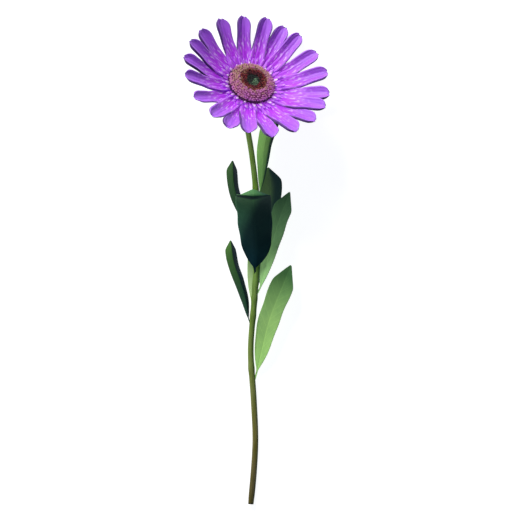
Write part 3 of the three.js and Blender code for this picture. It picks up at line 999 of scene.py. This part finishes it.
# %% Short floret finish
def short_floret_skin():
    finish, shader = new_finish("short_floret_skin", 0.5, 0.3)
    uv, _, along = sheet_places(finish)
    violet = colour_row(finish, along, [
        (0.0, (0.2, 0.01, 0.4)), (0.5, (0.42, 0.035, 0.76)), (1.0, (0.5, 0.1, 0.84))])
    whitish = colour_row(finish, along, [
        (0.0, (0.3, 0.02, 0.5)), (0.4, (0.5, 0.14, 0.74)), (0.75, (0.78, 0.52, 0.85)),
        (1.0, (0.85, 0.7, 0.9))])
    colour = blend_colours(finish, read_number(finish, "shade"), violet, whitish)
    streaks = grain(finish, (14, 2, 1), 1.0, detail=2, where=uv)
    patches = grain(finish, (1, 1, 1), 300, detail=2)
    pale_patch = times(finish, between(finish, patches, 0.52, 0.62), between(finish, along, 0.3, 0.8))
    colour = blend_colours(finish, times(finish, pale_patch, 0.6), colour, (0.74, 0.46, 0.9))
    lined = times(finish, between(finish, streaks, 0.45, 0.8), 0.3)
    set_colour(finish, shader, blend_colours(finish, lined, colour, (0.7, 0.4, 0.92)))
    shader.inputs["Sheen Weight"].default_value = 0.15
    raise_surface(finish, shader, streaks, 0.1, 0.6)
    return finish


short_finish = short_floret_skin()
put_on_flower(crown, ["trans_floret_crown"], [short_finish, short_finish])

# %% [markdown]
# ## The disc
# The middle of the head is hundreds of tiny florets packed on a dome. The outer rings have opened: each
# is a little tube with a five-pointed mouth, narrowed and drawn out to a point in its middle. Further in
# they are still closed, dark red, and the very middle is dark green buds. Each kind is modelled once
# with a few dozen faces, then copied in rings over a turned dome. Turning the dome needs only its side
# outline and the spin operator.

# %% Turn a dome from its outline
def turn_dome(name, outline, steps=72):
    """A closed outline of [radius, height], turned about the head's axis."""
    mesh = bpy.data.meshes.new(name)
    points = [(r * MM, 0, h * MM) for r, h in outline]
    edges = [(i, i + 1) for i in range(len(points) - 1)]
    mesh.from_pydata(points, edges, [])
    dome = bpy.data.objects.new(name, mesh)
    bpy.context.scene.collection.objects.link(dome)
    pick(dome)
    bpy.ops.object.mode_set(mode="EDIT")
    bpy.ops.mesh.select_all(action="SELECT")
    bpy.ops.mesh.spin(steps=steps, angle=2 * math.pi, center=(0, 0, 0), axis=(0, 0, 1))
    close_skin(dome, 1e-6)
    move_corners(dome, from_disc(*(corners_of(dome) / MM).T))
    return dome


open_dome = turn_dome("open_floret_bed", [
    (10.9, 3.1), (12.6, 3.7), (16.9, 4.8), (17.5, 5.2), (17.2, 6.3),
    (15.8, 8.0), (13.9, 9.6), (12.4, 10.4), (10.9, 10.7), (10.9, 3.1)])
ring_dome = turn_dome("closed_floret_bed", [
    (5.5, -0.5), (10.5, -0.5), (10.5, 10.6), (8.9, 10.8), (7.1, 10.4), (5.5, 9.8), (5.5, -0.5)])
bud_dome = turn_dome("bud_bed", [
    (0, -0.5), (5.1, -0.5), (5.1, 9.5), (3.4, 9.9), (0, 10.2)], steps=48)
print("beds:", [len(d.data.polygons) for d in (open_dome, ring_dome, bud_dome)])

# %% One open floret and one bud
FLORET_RADIUS = 0.5 * MM
FLORET_CORNERS = 10
open_floret = clear_and_add(
    bpy.ops.mesh.primitive_cylinder_add, "open_floret",
    vertices=FLORET_CORNERS, radius=FLORET_RADIUS, depth=1.8 * MM)
choose_faces(open_floret, lambda middle, normal: normal.z > 0.9)
bpy.ops.mesh.inset(thickness=0.16 * MM)
bpy.ops.mesh.extrude_region_move(TRANSFORM_OT_translate={"value": (0, 0, 0.7 * MM)})
bpy.ops.transform.resize(value=(0.4, 0.4, 1))
bpy.ops.object.mode_set(mode="OBJECT")
points = corners_of(open_floret)
rim = (np.hypot(points[:, 0], points[:, 1]) > 0.45 * MM) & (points[:, 2] > 0.85 * MM)
turn = np.arctan2(points[:, 1], points[:, 0])
every_second = np.round((turn / (2 * math.pi) * FLORET_CORNERS)) % 2 == 0
points[rim & every_second] *= (1.45, 1.45, 1.12)
points[points[:, 2] < 0, :2] *= 0.6
move_corners(open_floret, points / MM)
bud = clear_and_add(
    bpy.ops.mesh.primitive_uv_sphere_add, "closed_bud", segments=6, ring_count=5, radius=FLORET_RADIUS)
bpy.ops.object.mode_set(mode="EDIT")
bpy.ops.transform.resize(value=(1, 1, 1.7))
bpy.ops.object.mode_set(mode="OBJECT")
for pattern in (open_floret, bud):
    heights = corners_of(pattern)[:, 2]
    tag_points(pattern, "rise", (heights - heights.min()) / np.ptp(heights))
    pick(pattern)
    bpy.ops.object.shade_smooth_by_angle(angle=math.radians(50))
print("faces:", len(open_floret.data.polygons), len(bud.data.polygons))


# %% [markdown]
# Each ring over the dome's outline has a radius, a height and how far its florets tip outward, in
# degrees. The rings are set half a place off each other, as the seeds of a daisy are, and every copy is
# turned, tipped and sized a little differently. The argument lopsided shifts the shade of a floret by
# its bearing, so that the buds are greener on one side and the open florets are browner on the other.

# %% Set the florets in rings
GREEN_BEARING = math.radians(-40)


def plant_rings(pattern, rings, spacing, name, scale, chance, lopsided=0.0):
    planted = []
    for row, (radius, height, tip) in enumerate(rings):
        count = max(1, round(2 * math.pi * radius / spacing))
        for i in range(count):
            bearing = 2 * math.pi * (i + 0.5 * (row % 2) + chance * (chances.random() - 0.5)) / count
            size = scale * (1 + 0.3 * (chances.random() - 0.5))
            lift = 0.6 * (chances.random() - 0.5)
            radius_here = radius + 0.7 * (chances.random() - 0.5)
            lean_out = math.radians(tip + 14 * (chances.random() - 0.5))
            copy = set_on_head(pattern, bearing, size, height + lift, radius_here, lean_out)
            shade = 0.5 * row / max(1, len(rings) - 1) + 0.5 * chances.random()
            tag_points(copy, "shade", shade + lopsided * math.cos(bearing - GREEN_BEARING))
            planted.append(copy)
    joined = join_copies(planted, name)
    print(name, len(planted), "florets,", len(joined.data.polygons), "faces")
    return joined


open_rings = [
    (17.1, 6.9, 60), (16.3, 8.0, 52), (15.1, 9.1, 46),
    (13.8, 10.0, 36), (12.5, 10.8, 22), (11.4, 11.1, 8)]
closed_rings = [(10.2, 11.2, 6), (9.1, 11.3, 2), (8.0, 11.1, -6), (6.9, 10.8, -10), (5.9, 10.4, -12)]
bud_rings = [
    (4.9, 10.2, 4), (3.9, 10.4, 3), (2.9, 10.5, 2), (1.9, 10.6, 1), (0.9, 10.6, 0), (0.05, 10.6, 0)]
# The lowest two rings are painted shade: their florets are coloured nearly black violet.
shaded_low_rings = [(17.7, 5.2, 86), (17.7, 5.9, 74)]
painted_shade_field = plant_rings(open_floret, shaded_low_rings, 1.5, "painted_shade_low_florets", 1.15, 0.6)
open_field = plant_rings(open_floret, open_rings, 1.5, "open_florets", 1.15, 0.9, lopsided=-0.3)
closed_field = plant_rings(bud, closed_rings, 1.15, "closed_florets", 1.15, 0.5)
bud_field = plant_rings(bud, bud_rings, 0.95, "middle_buds", 0.95, 0.5, lopsided=0.7)
throw_away(open_floret, bud)

# %% [markdown]
# ### Disc finishes
# The open florets are dusty pink, turning tan further in, with pale dust on their tips. The lowest two
# rings, under the others, are painted nearly black violet as the shade between the dome and the petals.
# The closed ones run from tan through dark red to black, and the eye is a nearly black green. Each
# little copy carries a number called rise, from 0 at its foot to 1 at its tip, and the finish reads it to
# darken the foot and dust the tip. A second number, shade, picks its place in the row of body colours.
# The beds under the florets are pink outside and nearly black inside.

# %% Disc finishes
def floret_skin(name, foot, bodies, tip, dust=0.7):
    """bodies is a row of colours from the outermost florets to the innermost ones."""
    finish, shader = new_finish(name, 0.75, 0.2)
    rise = read_number(finish, "rise")
    patches = grain(finish, (1, 1, 1), 260, detail=2)
    specks = grain(finish, (1, 1, 1), 1400, detail=2)
    patchy = calculate(finish, "MULTIPLY_ADD", patches, 2.4, -1.2)
    shade = calculate(finish, "ADD", read_number(finish, "shade"), patchy)
    body = colour_row(finish, shade, [(n / (len(bodies) - 1), body) for n, body in enumerate(bodies)])
    colour = blend_colours(finish, between(finish, rise, 0.3, 0.7), foot, body)
    dusted = times(finish, between(finish, rise, 0.75, 0.92), dust)
    dusted = times(finish, dusted, between(finish, specks, 0.35, 0.6))
    set_colour(finish, shader, blend_colours(finish, dusted, colour, tip))
    shader.inputs["Sheen Weight"].default_value = 0.08
    raise_surface(finish, shader, specks, 0.12, 0.7)
    return finish


def bed_skin(name, dark, pale, pits=0.0):
    finish, shader = new_finish(name, 0.9, 0.1)
    pores = grain(finish, (1, 1, 1), 900, detail=2)
    set_colour(finish, shader, colour_row(finish, pores, [(0.3, dark), (0.7, pale)]))
    if pits:
        raise_surface(finish, shader, pores, pits, 0.8)
    return finish


DISC_FINISHES = [
    (open_field, ["open_disc_florets"], "open_floret", dict(
        name="open_floret_skin", foot=(0.28, 0.06, 0.17), tip=(0.82, 0.56, 0.54),
        bodies=[(0.56, 0.15, 0.52), (0.52, 0.16, 0.4), (0.46, 0.2, 0.24), (0.42, 0.25, 0.17)])),
    # Painted shade between the dome and the petals, on real florets.
    (painted_shade_field, [], "open_floret", dict(
        name="painted_shade_floret_skin", foot=(0.01, 0.003, 0.015), tip=(0.16, 0.03, 0.14), dust=0.4,
        bodies=[(0.03, 0.006, 0.04), (0.09, 0.015, 0.09)])),
    (closed_field, ["unopened_disc_florets"], "unopened_floret", dict(
        name="closed_floret_skin", foot=(0.025, 0.003, 0.008), tip=(0.3, 0.05, 0.055), dust=0.4,
        bodies=[(0.3, 0.16, 0.1), (0.26, 0.022, 0.03), (0.07, 0.008, 0.02), (0.02, 0.008, 0.012)])),
    (bud_field, ["centre_buds"], "bud", dict(
        name="bud_skin", foot=(0.004, 0.006, 0.008), tip=(0.16, 0.25, 0.16), dust=0.25,
        bodies=[(0.006, 0.007, 0.012), (0.006, 0.01, 0.018), (0.03, 0.055, 0.045), (0.15, 0.27, 0.16)])),
]
for field, nodes, slot_name, looks in DISC_FINISHES:
    put_on_flower(field, nodes, [floret_skin(**looks)])
pink_bed = bed_skin("floret_bed", (0.2, 0.05, 0.13), (0.36, 0.12, 0.25), pits=0.2)
black_bed = bed_skin("inner_bed", (0.01, 0.004, 0.008), (0.04, 0.01, 0.02))
put_on_flower(open_dome, [], [pink_bed])
put_on_flower(ring_dome, [], [black_bed])
put_on_flower(bud_dome, [], [black_bed])
print("disc finishes:", [looks["name"] for *_, looks in DISC_FINISHES])

# %% [markdown]
# ## The bracts
# Two rows of narrow green scales clasp the back of the receptacle. Each is a small pointed blade with a
# keel, laid on the cup's side and lifted a little off it. The outer row sits between the inner ones.

# %% Bract rule
BRACTS_PER_ROW = 10
BRACT_ROWS = [
    dict(name="bract_inner", start=0.84, end=0.04, lift=0.9, half_width=3.7, turn=0.0),
    dict(name="bract_outer", start=0.97, end=0.4, lift=1.9, half_width=3.0, turn=0.5),
]


def off_cup(depth, lift):
    """Radius and height of a place lifted square off the cup's side."""
    small = 0.01
    deeper = np.minimum(depth, 1 - small)
    slope = (cup_radius(deeper + small) - cup_radius(deeper)) / small
    length = np.hypot(slope, CUP_DEPTH)
    return cup_radius(deeper) + lift * CUP_DEPTH / length, cup_height(deeper) + lift * slope / length


def bract_places(across, along, row, bearing, chance):
    keel = 0.25 * (1 - np.abs(across)) ** 2
    depth = row["start"] + (row["end"] - row["start"]) * along
    radius, height = off_cup(depth, row["lift"] + keel + 0.2 * chance * along)
    swell = 0.25 + 0.75 * np.sin(np.pi * np.minimum(1, along / 0.9 + 0.1)) ** 0.8
    share = np.where(along > 0.8, swell + (0.06 - swell) * (along - 0.8) / 0.2, swell)
    room = radius * math.pi / BRACTS_PER_ROW - 0.2
    half = np.minimum(row["half_width"] * share, room)
    angle = bearing + across * half / radius
    return from_head(radius * np.cos(angle), radius * np.sin(angle), height)


# %% Bract finish
def bract_skin():
    finish, shader = new_finish("bract_skin", 0.65, 0.3)
    uv, _, along = sheet_places(finish)
    base = colour_row(finish, along, [
        (0.0, (0.12, 0.2, 0.05)), (0.6, (0.1, 0.18, 0.05)), (0.9, (0.07, 0.09, 0.05)),
        (1.0, (0.12, 0.04, 0.1))])
    lines = grain(finish, (30, 1.5, 1), 1.0, detail=2, where=uv)
    down = grain(finish, (1, 1, 1), 2400, detail=2)
    lined = blend_colours(finish, times(finish, lines, 0.5), base, (0.2, 0.3, 0.12))
    downy = times(finish, between(finish, down, 0.5, 0.8), 0.5)
    set_colour(finish, shader, blend_colours(finish, downy, lined, (0.4, 0.45, 0.32)))
    shader.inputs["Sheen Weight"].default_value = 0.3
    raise_surface(finish, shader, lines, 0.15, 0.6)
    raise_surface(finish, shader, down, 0.08, 0.6)
    return finish


# %% Grow the bracts
BRACT_GRID = (6, 14)
BRACT_THICKNESS = 0.4
bract_finish = bract_skin()
for row in BRACT_ROWS:
    for i in range(BRACTS_PER_ROW):
        node = f"{row['name']}_{i + 1:02d}"
        scale, across, along = grow_sheet(node + "_scale", *BRACT_GRID)
        bearing = 2 * math.pi * (i + row["turn"]) / BRACTS_PER_ROW
        move_corners(scale, bract_places(across, along, row, bearing, chances.random()))
        thicken(scale, BRACT_THICKNESS)
        put_on_flower(scale, [node], [bract_finish, bract_finish])
print("bracts:", len(BRACT_ROWS) * BRACTS_PER_ROW)
